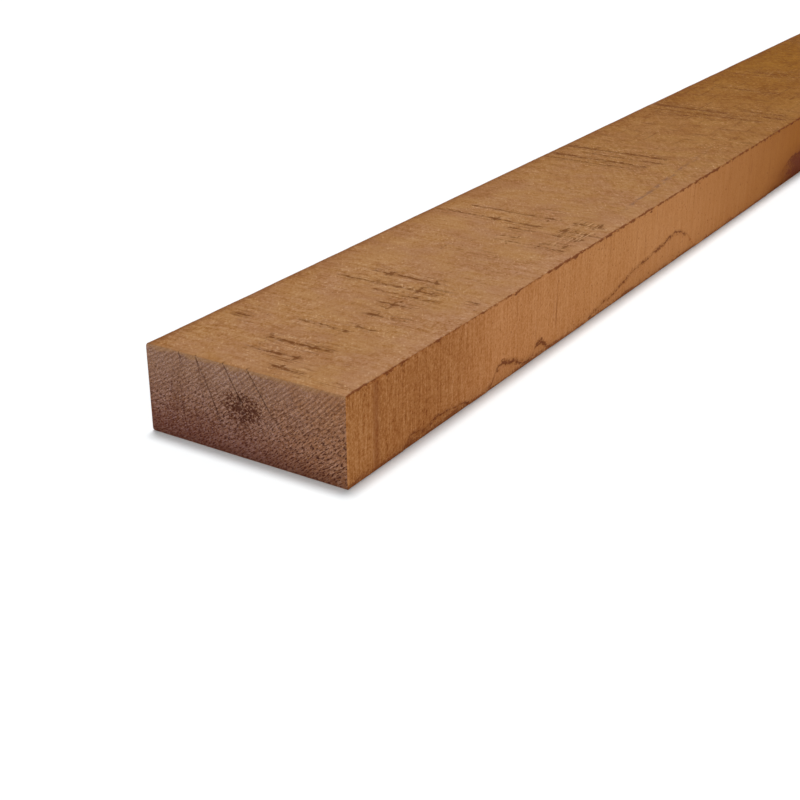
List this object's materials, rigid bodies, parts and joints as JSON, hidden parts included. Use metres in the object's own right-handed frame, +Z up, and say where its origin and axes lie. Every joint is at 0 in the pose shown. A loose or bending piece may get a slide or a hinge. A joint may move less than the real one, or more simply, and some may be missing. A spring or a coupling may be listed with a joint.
{
  "type": "sawn timber plank",
  "caption": "Rough-sawn hardwood plank of rectangular section, crosscut square, with drying checks in one end and torn grain along one lower arris.",
  "frame": {"origin": "under the middle of the plank, on the face that it lies on", "axes": "+Y along the grain towards the plain end, with the checked end at -Y; +X across the width towards the side with the torn lower arris; +Z up through the thickness"},
  "size_m": [0.15, 2.5, 0.06],
  "materials": {
    "sawn_hardwood": "rough sawn, dry and unfinished"
  },
  "bodies": {
    "root": {"plank": "sawn_hardwood"}
  },
  "joints": []
}
